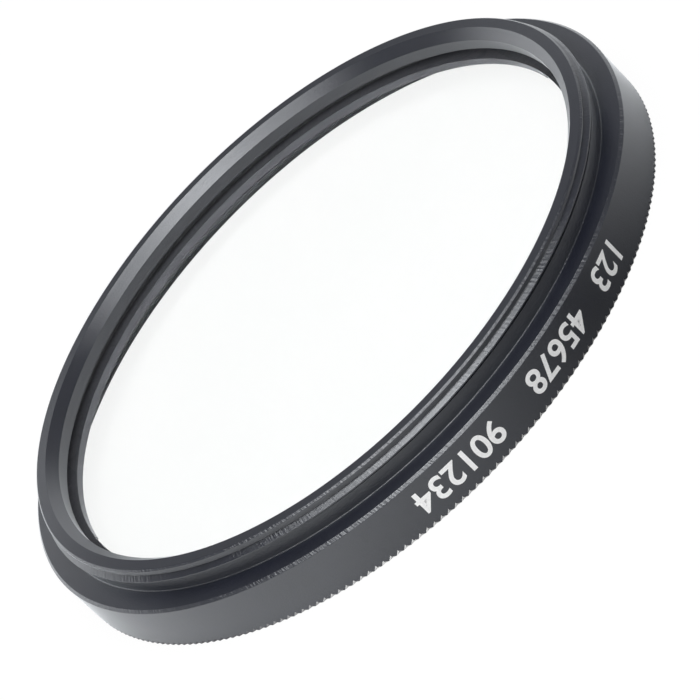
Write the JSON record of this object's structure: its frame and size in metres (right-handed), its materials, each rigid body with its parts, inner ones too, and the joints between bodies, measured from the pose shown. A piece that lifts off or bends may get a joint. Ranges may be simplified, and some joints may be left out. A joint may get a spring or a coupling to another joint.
{
  "type": "screw-in lens filter",
  "caption": "Round clear lens filter: a thin black knurled ring with a male thread at the rear and a female thread at the front, holding a flat glass disc under a retaining ring.",
  "frame": {"origin": "centre of the front face of the ring, which it lies on", "axes": "+Z along the optical axis, from the front face towards the male thread at the rear; +X through one of the spanner slots of the retaining ring"},
  "size_m": [0.052, 0.052, 0.0058],
  "materials": {
    "black_anodised": "black anodised, satin",
    "clear_glass": "polished, clear",
    "black_anodised_matte": "black anodised, matte"
  },
  "bodies": {
    "root": {"filter_ring": "black_anodised", "glass_disc": "clear_glass", "retaining_ring": "black_anodised_matte"}
  },
  "joints": []
}
